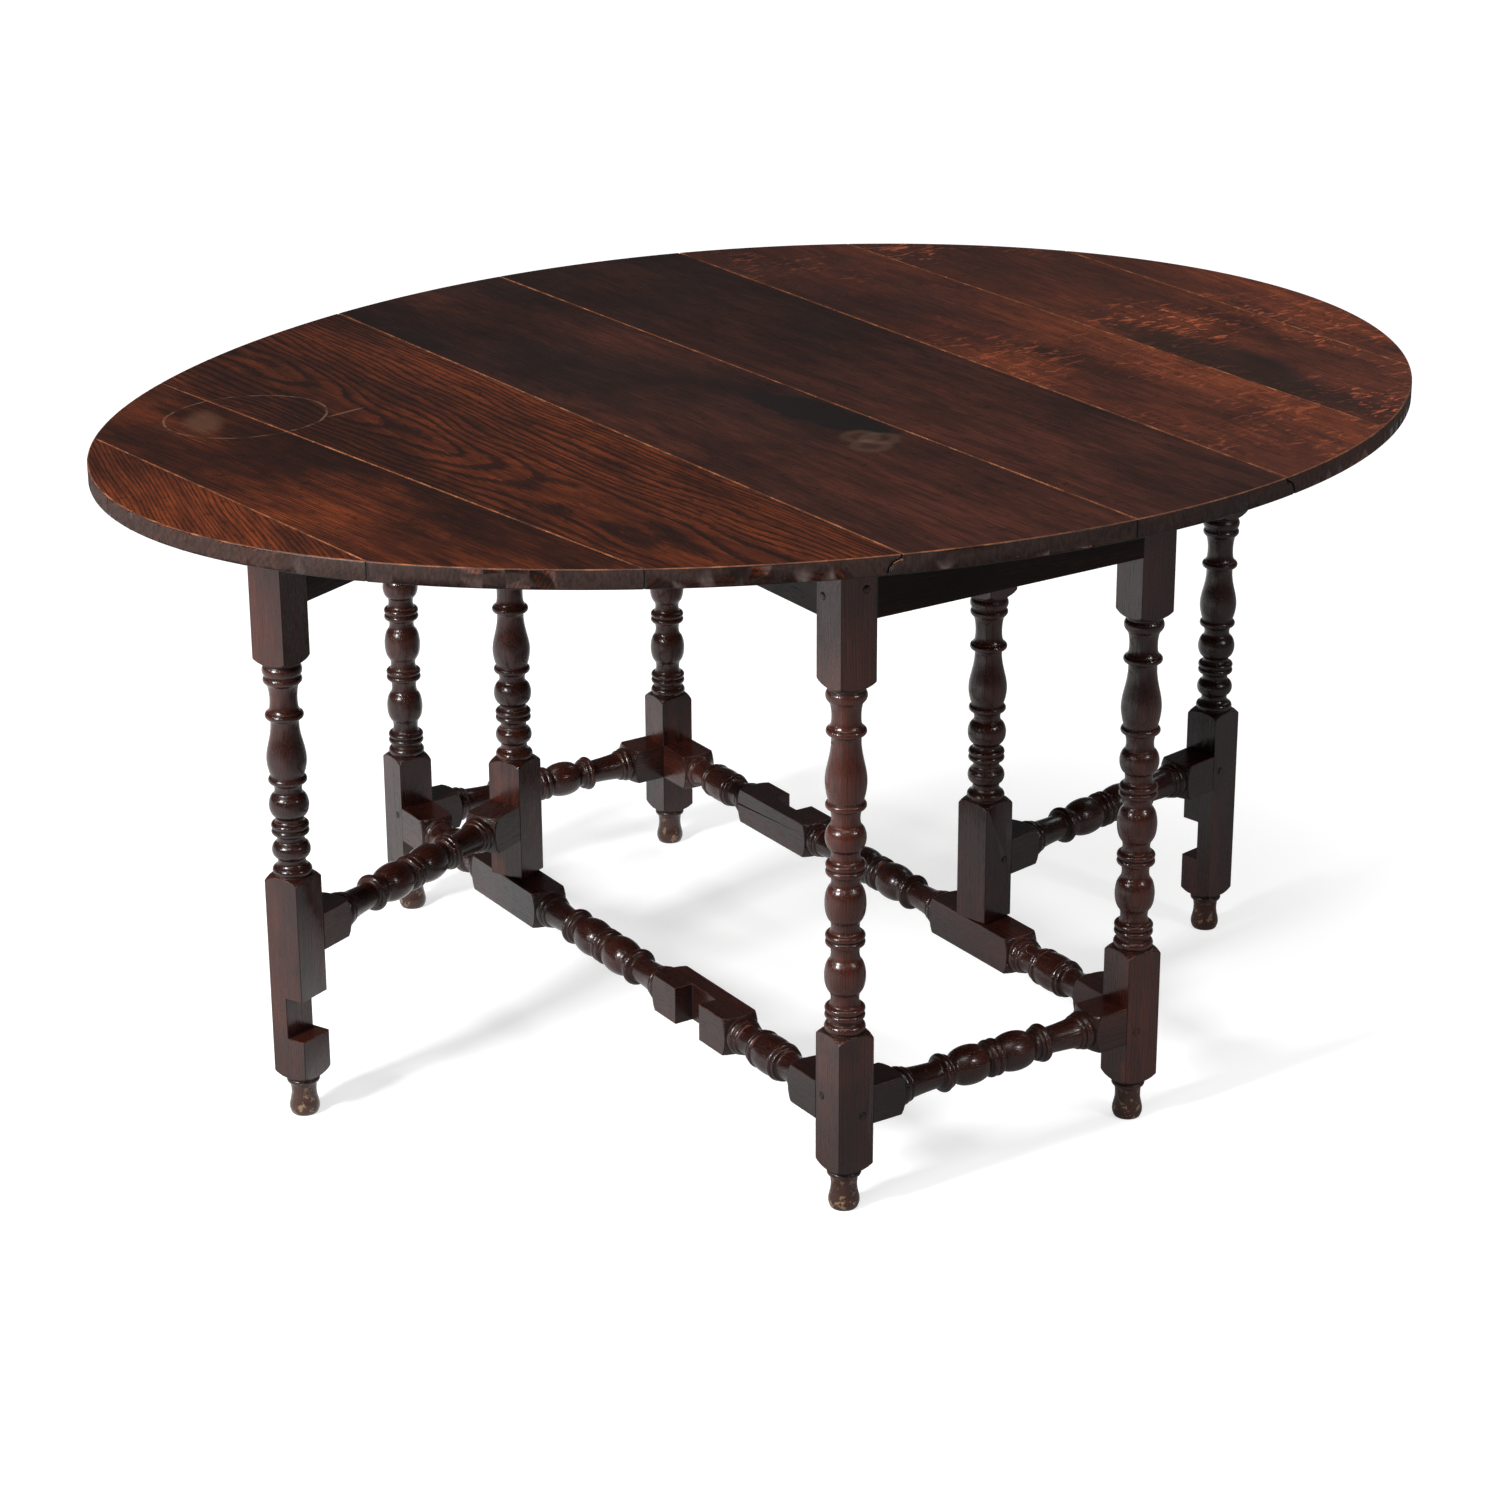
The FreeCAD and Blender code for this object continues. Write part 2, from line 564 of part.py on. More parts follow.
def hinge_screw_holes(leaf_side):
    return [screw_hole(*place) for place in hinge_screw_places(leaf_side)]


def hinge_recess():
    """Sinking for the hinges in the underside of the fixed top, with room for the leaf plate to rise."""
    half = PLATE_WIDE / 2 + 0.3
    cuts = []
    for x in HINGE_X:
        cuts.append(box(x - half, x + half, HINGE_Y - 46.3, HINGE_Y, UNDERSIDE - 1, UNDERSIDE + PLATE_THICK))
        cuts.append(box(x - half, x + half, HINGE_Y - 4.5, HINGE_Y + 4.5, UNDERSIDE - 1, PIN_Z + 4.2))
        cuts.append(box(x - half, x + half, HINGE_Y, HINGE_Y + 30, UNDERSIDE - 1, UNDERSIDE + PLATE_THICK + 1.5))
    return cuts


def leaf_recess():
    half = PLATE_WIDE / 2 + 0.3
    return [box(x - half, x + half, HINGE_Y, HINGE_Y + 62.3, UNDERSIDE - 1, UNDERSIDE + PLATE_THICK)
            for x in HINGE_X]


def fixed_top_boards():
    beyond = rule_section(0.0)
    top = oval_slab().cut([beyond, to_front(beyond)])
    recess = hinge_recess() + hinge_screw_holes(False)
    frame_holes = [moved(hole, FRAME_MIDDLE[0], FRAME_MIDDLE[1] - TOP_MIDDLE_Y, 0)
                   for hole in BLOCK_SCREW_HOLES]
    top = top.cut(recess + [to_front(cut) for cut in recess] + frame_holes + dowels(DOWELS_TOP))
    front = top.common(strip((-FAR, 0.0), SEAM_TOP))
    back = top.common(strip(SEAM_TOP, (FAR, 0.0)))
    return front, back


def leaf_boards(seams, dowel_list, back):
    """The three boards of a leaf, from the hinge outwards."""
    beyond = rule_section(RULE_GAP)
    cuts = leaf_recess() + hinge_screw_holes(True)
    if not back:
        beyond = to_front(beyond)
        cuts = [to_front(cut) for cut in cuts]
    leaf = oval_slab().common(beyond).cut(cuts + dowels(dowel_list))
    sign = 1 if back else -1
    lines = [(0.0, 0.0)] + seams + [(sign * FAR, 0.0)]
    boards = []
    for near, far in zip(lines, lines[1:]):
        low, high = (near, far) if back else (far, near)
        boards.append(leaf.common(strip(low, high)))
    return boards


# ---------------------------------------------------------------- leaf hinges

KNUCKLES = 3
KNUCKLE_LENGTH = PLATE_WIDE / KNUCKLES


def knuckle(x, index):
    start = x - PLATE_WIDE / 2 + index * KNUCKLE_LENGTH + 0.15
    end = start + KNUCKLE_LENGTH - 0.3
    return rod(KNUCKLE_RADIUS, V(start, HINGE_Y, PIN_Z), V(end, HINGE_Y, PIN_Z))


def pin_hole(x):
    return rod(PIN_RADIUS + 0.05, V(x - 20, HINGE_Y, PIN_Z), V(x + 20, HINGE_Y, PIN_Z))


def knuckle_gap(x, index):
    """Clear the plate of one leaf where the other leaf's knuckle turns."""
    start = x - PLATE_WIDE / 2 + index * KNUCKLE_LENGTH - 0.15
    end = start + KNUCKLE_LENGTH + 0.3
    return box(start, end, HINGE_Y - 4.2, HINGE_Y + 4.2, UNDERSIDE - 3, PIN_Z + 4.2)


def hinge_plates(leaf_side):
    plates = []
    half = PLATE_WIDE / 2
    for x in HINGE_X:
        reach = (HINGE_Y, HINGE_Y + 62) if leaf_side else (HINGE_Y - 46, HINGE_Y)
        plate = box(x - half, x + half, *reach, UNDERSIDE, UNDERSIDE + PLATE_THICK)
        own = (1,) if leaf_side else (0, 2)
        other = (0, 2) if leaf_side else (1,)
        plate = plate.cut([knuckle_gap(x, i) for i in other])
        plate = plate.fuse([knuckle(x, i) for i in own]).cut(pin_hole(x))
        plates.append(plate.cut(hinge_screw_holes(leaf_side)).removeSplitter())
    return compound(plates)


def hinge_pins():
    pins = [rod(PIN_RADIUS, V(x - PLATE_WIDE / 2, HINGE_Y, PIN_Z), V(x + PLATE_WIDE / 2, HINGE_Y, PIN_Z))
            for x in HINGE_X]
    return compound(pins)


def hinge_screws(leaf_side):
    return compound([screw(*place) for place in hinge_screw_places(leaf_side)])


# ---------------------------------------------------------------- assembly

def fixed_frame():
    leg = fixed_leg()
    nodes = {"leg_back_right": leg, "leg_front_right": mirror_y(leg),
             "leg_back_left": mirror_x(leg), "leg_front_left": half_turn(leg)}
    stretcher = long_stretcher()
    nodes["stretcher_back"] = stretcher
    nodes["stretcher_front"] = half_turn(stretcher)
    side = end_stretcher()
    nodes["stretcher_right"] = side
    nodes["stretcher_left"] = mirror_x(side)
    apron = long_apron()
    nodes["apron_back"] = apron
    nodes["apron_front"] = half_turn(apron)
    end = end_apron()
    nodes["apron_right"] = end
    nodes["apron_left"] = mirror_x(end)
    nodes["frame_pegs"] = compound([s for tip, head in CORNER_PEGS for s in four_corners(peg(tip, head))])
    nodes["glue_blocks"] = glue_blocks()
    nodes["glue_block_screws"] = compound([screw(*place) for place in BLOCK_SCREWS])
    return nodes


def gate(prefix, opening, back):
    pieces = {"post": gate_post(), "leg": gate_leg(), "stretcher": gate_stretcher(),
              "rail": gate_rail(), "pegs": gate_pegs()}
    return {prefix + "_" + name: swung(shape, opening, back) for name, shape in pieces.items()}


def top():
    front, back = fixed_top_boards()
    nodes = {"top_board_front": front, "top_board_back": back, "top_dowels": compound(dowels(DOWELS_TOP))}
    for prefix, seams, places, is_back in (("leaf_a", SEAMS_A, DOWELS_A, False),
                                           ("leaf_b", SEAMS_B, DOWELS_B, True)):
        boards = leaf_boards(seams, places, is_back)
        for name, board in zip(("inner", "middle", "outer"), boards):
            nodes[prefix + "_board_" + name] = board
        nodes[prefix + "_dowels"] = compound(dowels(places))
        hardware = {"fixed_plates": hinge_plates(False), "leaf_plates": hinge_plates(True),
                    "pins": hinge_pins(), "fixed_screws": hinge_screws(False),
                    "leaf_screws": hinge_screws(True)}
        for name, shape in hardware.items():
            nodes[prefix + "_hinge_" + name] = shape if is_back else to_front(shape)
    return nodes


def assembly():
    under = fixed_frame()
    under.update(gate("gate_a", GATE_A_OPEN, False))
    under.update(gate("gate_b", GATE_B_OPEN, True))
    nodes = {name: moved(shape, FRAME_MIDDLE[0], FRAME_MIDDLE[1], 0) for name, shape in under.items()}
    nodes.update({name: moved(shape, 0, TOP_MIDDLE_Y, 0) for name, shape in top().items()})
    return nodes


for node, shape in assembly().items():
    shape.exportStep("parts/" + node + ".step")
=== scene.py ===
"""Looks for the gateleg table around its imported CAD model: old waxed oak, soft studio light, the camera."""

import math

import bpy
from mathutils import Matrix, Vector


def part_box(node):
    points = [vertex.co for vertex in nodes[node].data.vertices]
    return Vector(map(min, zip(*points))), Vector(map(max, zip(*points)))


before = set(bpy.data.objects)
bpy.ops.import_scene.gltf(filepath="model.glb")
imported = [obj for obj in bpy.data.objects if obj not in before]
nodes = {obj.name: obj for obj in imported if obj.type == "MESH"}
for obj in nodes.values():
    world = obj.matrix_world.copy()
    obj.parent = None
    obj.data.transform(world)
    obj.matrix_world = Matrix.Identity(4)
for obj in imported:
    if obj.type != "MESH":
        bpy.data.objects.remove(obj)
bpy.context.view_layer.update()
TOP_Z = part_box("top_board_front")[1].z


# ---------------------------------------------------------------- node-tree helpers

class Shader:
    """A material's node tree, with a short call for each kind of node used here."""

    def __init__(self, name):
        self.material = bpy.data.materials.new(name)
        self.material.use_nodes = True
        self.tree = self.material.node_tree
        self.surface = self.tree.nodes["Principled BSDF"]
        self.place = self.add("TexCoord").outputs["Object"]

    def add(self, kind, **settings):
        node = self.tree.nodes.new("ShaderNode" + kind)
        for key, value in settings.items():
            setattr(node, key, value)
        return node

    def put(self, socket, value):
        if isinstance(value, bpy.types.NodeSocket):
            self.tree.links.new(value, socket)
        else:
            socket.default_value = value

    def math(self, operation, *values):
        node = self.add("Math", operation=operation)
        for socket, value in zip(node.inputs, values):
            self.put(socket, value)
        return node.outputs[0]

    def vector(self, operation, *values):
        node = self.add("VectorMath", operation=operation)
        for socket, value in zip(node.inputs, values):
            self.put(socket, value)
        return node.outputs[0]

    def split(self, vector):
        node = self.add("SeparateXYZ")
        self.put(node.inputs[0], vector)
        return node.outputs[0], node.outputs[1], node.outputs[2]

    def join(self, x, y, z):
        node = self.add("CombineXYZ")
        for socket, value in zip(node.inputs, (x, y, z)):
            self.put(socket, value)
        return node.outputs[0]

    def stretched(self, vector, factors):
        return self.vector("MULTIPLY", vector, factors)

    def noise(self, vector, scale, detail=2.0, roughness=0.5, distortion=0.0):
        node = self.add("TexNoise")
        self.put(node.inputs["Vector"], vector)
        node.inputs["Scale"].default_value = scale
        node.inputs["Detail"].default_value = detail
        node.inputs["Roughness"].default_value = roughness
        node.inputs["Distortion"].default_value = distortion
        return node.outputs["Fac"]

    def fade(self, value, start, end, low=0.0, high=1.0):
        """Smooth step from low to high as value goes from start to end."""
        node = self.add("MapRange", interpolation_type="SMOOTHSTEP")
        for socket, number in zip(node.inputs, (value, start, end, low, high)):
            self.put(socket, number)
        return node.outputs[0]

    def mix(self, factor, first, second):
        node = self.add("Mix", data_type="RGBA")
        self.put(node.inputs["Factor"], factor)
        self.put(node.inputs["A"], first if isinstance(first, bpy.types.NodeSocket) else (*first, 1.0))
        self.put(node.inputs["B"], second if isinstance(second, bpy.types.NodeSocket) else (*second, 1.0))
        return [out for out in node.outputs if out.type == "RGBA"][0]

    def bump(self, height, distance, strength=1.0, normal=None):
        node = self.add("Bump")
        self.put(node.inputs["Height"], height)
        node.inputs["Distance"].default_value = distance
        node.inputs["Strength"].default_value = strength
        if normal is not None:
            self.put(node.inputs["Normal"], normal)
        return node.outputs["Normal"]

    def crevice(self, reach):
        """0 in crevices rising to 1 on open faces. reach is how far away a facing surface counts."""
        node = self.add("AmbientOcclusion", samples=4, only_local=True)
        node.inputs["Distance"].default_value = reach
        return node.outputs["AO"]

    def finish(self, color, roughness, normal, specular=0.5):
        self.put(self.surface.inputs["Base Color"], color)
        self.put(self.surface.inputs["Roughness"], roughness)
        self.put(self.surface.inputs["Normal"], normal)
        self.surface.inputs["Specular IOR Level"].default_value = specular
        return self.material


# ---------------------------------------------------------------- oak

EARLY_PART = 0.38                 # share of a year's ring that is open-pored early wood
GRIME_AND_CREVICE_SHADE = (0.003, 0.002, 0.0016)    # old wax and dirt in the quirks of the turnings, and painted shade there
# How far the AO looks for a facing surface when it paints shade and grime into crevices.
GRIME_REACH = 0.016
RIM_TONES = ((0.011, 0.0068, 0.0060), (0.034, 0.0190, 0.0155))
DUSTY_SCRATCH = (0.24, 0.135, 0.085)
FOOT_WEAR_TOP = 0.050


def log_space(s, heart, along):
    """Coordinates (U, V, W) in metres in the tree: U runs up the trunk, and V and W start at its heart."""
    mapping = s.add("Mapping", vector_type="TEXTURE")
    s.put(mapping.inputs["Vector"], s.place)
    mapping.inputs["Location"].default_value = heart
    mapping.inputs["Rotation"].default_value = along
    return mapping.outputs[0]


def oak_figure(s, heart, along, ring, waver):
    """The parts of the oak's figure: ring phase 0..1, early-wood mask, pores and fine fibre streaks."""
    tree = log_space(s, heart, along)
    u, v, w = s.split(tree)
    slow = s.stretched(tree, (2.2, 7.0, 7.0))
    wander_v = s.math("MULTIPLY", s.math("SUBTRACT", s.noise(slow, 1.0, 2.0, 0.55), 0.5), waver)
    shifted = s.vector("ADD", slow, (7.3, 3.1, 5.7))
    wander_w = s.math("MULTIPLY", s.math("SUBTRACT", s.noise(shifted, 1.0, 2.0, 0.55), 0.5), waver)
    v = s.math("ADD", v, wander_v)
    w = s.math("ADD", w, wander_w)
    radius = s.vector("LENGTH", s.join(0.0, v, w))
    radius = radius.node.outputs["Value"]
    uneven = s.noise(s.join(radius, 0.0, 0.0), 0.22 / ring, 1.0)
    years = s.math("ADD", s.math("DIVIDE", radius, ring), s.math("MULTIPLY", uneven, 2.5))
    edge_noise = s.noise(s.stretched(tree, (60.0, 420.0, 420.0)), 1.0, 2.0, 0.6)
    years = s.math("ADD", years, s.math("MULTIPLY", s.math("SUBTRACT", edge_noise, 0.5), 0.55))
    phase = s.math("FRACT", years)
    late = s.fade(phase, EARLY_PART * 0.7, EARLY_PART * 1.3, 1.0, 0.0)
    early = s.math("MULTIPLY", s.fade(phase, 0.0, 0.06), late)
    pore_noise = s.noise(s.stretched(tree, (55.0, 1500.0, 1500.0)), 1.0, 1.0, 0.5)
    pores = s.fade(pore_noise, 0.56, 0.64)
    fibre = s.noise(s.stretched(tree, (14.0, 520.0, 520.0)), 1.0, 3.0, 0.6)
    return tree, phase, early, pores, fibre


def blot(s, middle, half, turn=0.0, ragged=0.35, scale=30.0):
    """Distance from a stain's middle, 1 at its ragged outline. half is its half length and half width."""
    mapping = s.add("Mapping", vector_type="TEXTURE")
    s.put(mapping.inputs["Vector"], s.place)
    mapping.inputs["Location"].default_value = (middle[0], middle[1], TOP_Z)
    mapping.inputs["Rotation"].default_value = (0.0, 0.0, math.radians(turn))
    mapping.inputs["Scale"].default_value = (half[0], half[1], 0.1)
    reach = s.vector("LENGTH", mapping.outputs[0]).node.outputs["Value"]
    rough = s.noise(s.place, scale, 4.0, 0.6)
    return s.math("ADD", reach, s.math("MULTIPLY", s.math("SUBTRACT", rough, 0.5), 2 * ragged))


def grain(s, tones, tree, phase, early, fibre, contrast):
    """The clean wood: broad patches, rings, fibre and flame, in tones (dark, middle, bright)."""
    dark, middle, bright = tones
    patch = s.noise(s.stretched(tree, (1.6, 6.0, 6.0)), 1.0, 5.0, 0.6, 0.6)
    color = s.mix(s.fade(patch, 0.36, 0.64), middle, bright)
    color = s.mix(s.fade(phase, 0.3, 1.0, 0.0, 0.35 * contrast), color, bright)
    color = s.mix(s.math("MULTIPLY", early, 0.75 * contrast), color, dark)
    color = s.mix(s.fade(fibre, 0.36, 0.62, 0.6 * contrast, 0.0), color, dark)
    flame = s.noise(s.stretched(tree, (9.0, 60.0, 60.0)), 1.0, 3.0, 0.65)
    return s.mix(s.fade(flame, 0.4, 0.6, 0.5 * contrast, 0.0), color, dark)


def medullary_rays(s, color, tree, bright, strength):
    """Pale flecks, in drifts along the board, where the saw ran close to the rays."""
    rays = s.fade(s.noise(s.stretched(tree, (110.0, 38.0, 38.0)), 1.0, 2.0, 0.6, 1.2), 0.56, 0.66)
    drift = s.fade(s.noise(s.stretched(tree, (3.0, 6.0, 6.0)), 1.0, 1.0), 0.42, 0.6)
    seen = s.math("MULTIPLY", s.math("MULTIPLY", rays, drift), strength)
    return s.mix(seen, color, tuple(1.9 * c + 0.01 for c in bright))


def specks_and_scuffs(s, color, tree, dark, bright, strength):
    spots = s.fade(s.noise(s.place, 75.0, 4.0, 0.7), 0.58, 0.68, 0.0, strength)
    color = s.mix(spots, color, tuple(0.4 * c for c in dark))
    scuff_noise = s.noise(s.stretched(tree, (30.0, 260.0, 260.0)), 1.0, 3.0, 0.7)
    return s.mix(s.fade(scuff_noise, 0.62, 0.72, 0.0, 0.4 * strength), color, bright)


def sawn_rim(s, color, roughness):
    """Grey, unpolished end grain and saw marks on the faces that stand upright."""
    upright = s.math("ABSOLUTE", s.split(s.add("TexCoord").outputs["Normal"])[2])
    side = s.fade(upright, 0.45, 0.6, 1.0, 0.0)
    saw = s.noise(s.stretched(s.place, (330.0, 330.0, 130.0)), 1.0, 4.0, 0.65)
    color = s.mix(s.math("MULTIPLY", side, 0.85), color, s.mix(s.fade(saw, 0.3, 0.7), *RIM_TONES))
    return color, s.math("ADD", roughness, s.math("MULTIPLY", side, 0.35))


def oak(name, heart, along, tones, ring=0.003, waver=0.02, mottle=0.5, fleck=0.0, contrast=1.0,
        gloss=(0.28, 0.42), specular=0.4, crevices=0.0, painted_end_shade=0.0, specks=0.0, marks=None, rim=False, bump=1.0):
    """Old oak under wax. tones is (dark, middle, bright); ring, a year's width, and waver are in metres.

    From 0 to about 1: mottle is dark clouds, fleck medullary rays, contrast the strength of the rings,
    crevices grime and painted shade in the turnings' grooves, dim a painted shade over the -X end,
    and specks small spots and scuffs.
    """
    s = Shader(name)
    dark, _, bright = tones
    tree, phase, early, pores, fibre = oak_figure(s, heart, along, ring, waver)
    color = grain(s, tones, tree, phase, early, fibre, contrast)
    cloud = s.noise(s.stretched(s.place, (2.6, 4.2, 4.2)), 1.3, 5.0, 0.62, 0.3)
    age = s.math("MULTIPLY", s.fade(cloud, 0.44, 0.66), mottle)
    color = s.mix(age, color, tuple(0.5 * c for c in dark))
    # Painted shade: the board darkens towards its -X end, so that its +X end looks lit.
    if painted_end_shade:
        color = s.mix(s.fade(s.split(s.place)[0], -0.45, 0.35, painted_end_shade, 0.0), color, dark)
    if fleck:
        color = medullary_rays(s, color, tree, bright, fleck)
    pore_mask = s.math("MULTIPLY", pores, s.math("ADD", s.math("MULTIPLY", early, 0.7), 0.3))
    color = s.mix(s.math("MULTIPLY", pore_mask, 0.7), color, tuple(0.3 * c for c in dark))
    if specks:
        color = specks_and_scuffs(s, color, tree, dark, bright, specks)
    if marks:
        color = marks(s, color)
    rub = s.noise(s.place, 9.0, 4.0, 0.6)
    roughness = s.math("ADD", s.fade(rub, 0.3, 0.7, *gloss), s.math("MULTIPLY", pore_mask, 0.2))
    # Grime and painted shade: near-black colour where the AO finds a facing surface close by, so grooves and
    # corners go dark.
    if crevices:
        dirt_and_shade = s.fade(s.crevice(GRIME_REACH), 0.40, 0.86, crevices, 0.0)
        color = s.mix(dirt_and_shade, color, GRIME_AND_CREVICE_SHADE)
        roughness = s.math("ADD", roughness, s.math("MULTIPLY", dirt_and_shade, 0.35))
    if rim:
        color, roughness = sawn_rim(s, color, roughness)
    relief = s.math("SUBTRACT", s.math("MULTIPLY", fibre, 0.15),
                    s.math("ADD", s.math("MULTIPLY", early, 0.3), pore_mask))
    normal = s.bump(relief, 0.0002 * bump, 0.5)
    dents = s.noise(s.place, 26.0, 2.0, 0.5)
    normal = s.bump(dents, 0.0015 * bump, 0.4, normal)
    return s.finish(color, roughness, normal, specular)


def worn(name, dirt_and_shade, color, bright, roughness=0.4):
    """Oak rubbed bare with a painted highlight on an arris that faces up, dark with dirt and painted shade
    where it doesn't.
    """
    s = Shader(name)
    streak = s.noise(s.place, 45.0, 4.0, 0.6)
    tint = s.mix(s.fade(streak, 0.46, 0.66), color, bright)
    up = s.split(s.add("TexCoord").outputs["Normal"])[2]
    gaps = s.noise(s.place, 22.0, 3.0, 0.6)
    # Rubbed wood and a painted highlight where the bevel faces up; dirt and painted shade where it faces
    # aside or down.
    clean = s.math("MULTIPLY", s.fade(up, 0.25, 0.7), s.fade(gaps, 0.32, 0.55, 0.35, 1.0))
    dents = s.noise(s.place, 160.0, 3.0, 0.6)
    normal = s.bump(dents, 0.0008, 0.6)
    return s.finish(s.mix(clean, dirt_and_shade, tint), s.fade(streak, 0.3, 0.7, roughness, roughness + 0.15), normal,
                    specular=0.25)


def iron(name):
    s = Shader(name)
    scale_noise = s.noise(s.place, 220.0, 4.0, 0.65)
    rust = s.noise(s.place, 60.0, 3.0, 0.6)
    color = s.mix(s.fade(scale_noise, 0.35, 0.7), (0.012, 0.010, 0.009), (0.04, 0.034, 0.03))
    color = s.mix(s.fade(rust, 0.55, 0.7, 0.0, 0.7), color, (0.09, 0.035, 0.016))
    normal = s.bump(scale_noise, 0.0006, 0.8)
    s.surface.inputs["Metallic"].default_value = 0.6
    return s.finish(color, s.fade(rust, 0.4, 0.7, 0.45, 0.7), normal)


# ---------------------------------------------------------------- tones and pieces

LEAF_TONES = ((0.0082, 0.0025, 0.0018), (0.0425, 0.0089, 0.0035), (0.1436, 0.0287, 0.0074))
MIDDLE_TONES = ((0.0048, 0.0022, 0.0020), (0.0221, 0.0075, 0.0057), (0.0825, 0.0220, 0.0123))
# The back leaf's tones are its wood's, brightened with a painted sheen of the light its wax reflects.
BACK_TONES_WITH_PAINTED_SHEEN = ((0.0128, 0.0047, 0.0040), (0.0754, 0.0191, 0.0110), (0.2270, 0.0504, 0.0173))
TURNED_TONES = ((0.0052, 0.0018, 0.0015), (0.0202, 0.0049, 0.0035), (0.0780, 0.0172, 0.0094))
RAIL_TONES = ((0.0025, 0.0013, 0.0012), (0.0105, 0.0040, 0.0030), (0.0278, 0.0091, 0.0062))

ALONG_X = (0.0, 0.0, 0.0)
ALONG_Y = (0.0, 0.0, math.radians(90))
ALONG_Z = (0.0, math.radians(-90), 0.0)


def centre(node):
    low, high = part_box(node)
    return (low + high) / 2


def tilted(yaw, pitch=0.0):
    """Grain that runs along X, turned by yaw in plan and pitch up or down, in degrees."""
    return (0.0, math.radians(pitch), math.radians(yaw))


FLAT_WITHIN = math.radians(0.3)   # facets that lie this flat to each other are one face
ARRIS_OVER = math.radians(32.0)   # an edge that turns more than this is an arris


def dress(node, material, edge=None, width=0.0, segments=2):
    """Give a CAD node its material, and round its arrises by width, with the edge material on them."""
    obj = nodes[node]
    obj.data.materials.clear()
    obj.data.materials.append(material)
    if edge is not None:
        obj.data.materials.append(edge)
    if width:
        weld = obj.modifiers.new("weld", "WELD")
        weld.merge_threshold = 0.00002
        flat = obj.modifiers.new("flat_faces", "DECIMATE")
        flat.decimate_type = "DISSOLVE"
        flat.angle_limit = FLAT_WITHIN
        bevel = obj.modifiers.new("arris", "BEVEL")
        bevel.width = width
        bevel.segments = segments
        bevel.limit_method = "ANGLE"
        bevel.angle_limit = ARRIS_OVER
        bevel.harden_normals = True
        bevel.use_clamp_overlap = False
        if edge is not None:
            bevel.material = 1


# Colours for the rounded arrises: rubbed oak with a painted highlight where they face up, dirt and painted
# shade elsewhere.
WORN_TOP_WITH_PAINTED_LIGHT = worn("oak_worn_top_painted_light", (0.008, 0.005, 0.0045), (0.100, 0.031, 0.012), (0.22, 0.078, 0.030))
WORN_FRAME_WITH_PAINTED_LIGHT = worn("oak_worn_frame_painted_light", (0.016, 0.006, 0.005), (0.040, 0.013, 0.008), (0.13, 0.040, 0.022), 0.3)
IRON = iron("iron_forged")


def leaf_marks(s, color):
    """A ring scratched round a hot pan, with a tail, and a pale worn patch beside it."""
    ring = blot(s, (-0.208, -0.500), (0.074, 0.086), ragged=0.05, scale=14.0)
    broken = s.fade(s.noise(s.place, 45.0, 3.0), 0.40, 0.58, 0.05, 0.34)
    line = s.fade(s.math("ABSOLUTE", s.math("SUBTRACT", ring, 1.0)), 0.006, 0.024, 1.0, 0.0)
    color = s.mix(s.math("MULTIPLY", line, broken), color, DUSTY_SCRATCH)
    tail = s.fade(blot(s, (-0.165, -0.405), (0.0022, 0.026), turn=12.0, ragged=0.2), 0.7, 1.1, 0.3, 0.0)
    color = s.mix(tail, color, DUSTY_SCRATCH)
    patch = s.fade(blot(s, (-0.212, -0.545), (0.050, 0.022), turn=-20.0), 0.4, 1.15, 0.22, 0.0)
    return s.mix(patch, color, (0.17, 0.085, 0.050))


def middle_marks(s, color):
    """A black ink stain across the middle seam and the pale bloom of wet cups beside it."""
    ink = s.fade(blot(s, (0.112, -0.006), (0.112, 0.036), turn=10.0, ragged=0.5), 0.75, 1.05, 0.92, 0.0)
    color = s.mix(ink, color, (0.0045, 0.0032, 0.0032))
    halo = s.fade(blot(s, (-0.05, -0.09), (0.30, 0.085), turn=4.0, ragged=0.4, scale=7.0), 0.5, 1.3, 0.4, 0.0)
    color = s.mix(halo, color, (0.008, 0.005, 0.0045))
    for middle in ((0.205, -0.018), (0.238, -0.028), (0.222, -0.006)):
        cup = blot(s, middle, (0.020, 0.020), ragged=0.2, scale=40.0)
        bloom = s.fade(s.math("ABSOLUTE", s.math("SUBTRACT", cup, 0.8)), 0.1, 0.4, 0.14, 0.03)
        inside = s.math("MULTIPLY", bloom, s.fade(cup, 1.0, 1.35, 1.0, 0.0))
        color = s.mix(inside, color, (0.15, 0.095, 0.065))
    return color


def back_marks(s, color):
    """A broad dark cloud over the rays of the back leaf."""
    cloud = blot(s, (0.20, 0.47), (0.24, 0.060), turn=-4.0, ragged=0.5, scale=9.0)
    return s.mix(s.fade(cloud, 0.5, 1.25, 0.85, 0.0), color, (0.010, 0.0055, 0.0045))


def foot_marks(s, color):
    """Bare flecks and rubbed wood on the feet, where mops and shoes have knocked them."""
    height = s.split(s.place)[2]
    low = s.fade(height, 0.012, FOOT_WEAR_TOP, 1.0, 0.0)
    color = s.mix(s.math("MULTIPLY", low, 0.5), color, (0.055, 0.022, 0.013))
    flecks = s.fade(s.noise(s.place, 130.0, 3.0, 0.6), 0.56, 0.62)
    return s.mix(s.math("MULTIPLY", flecks, s.math("MULTIPLY", low, 0.8)), color, (0.24, 0.15, 0.085))
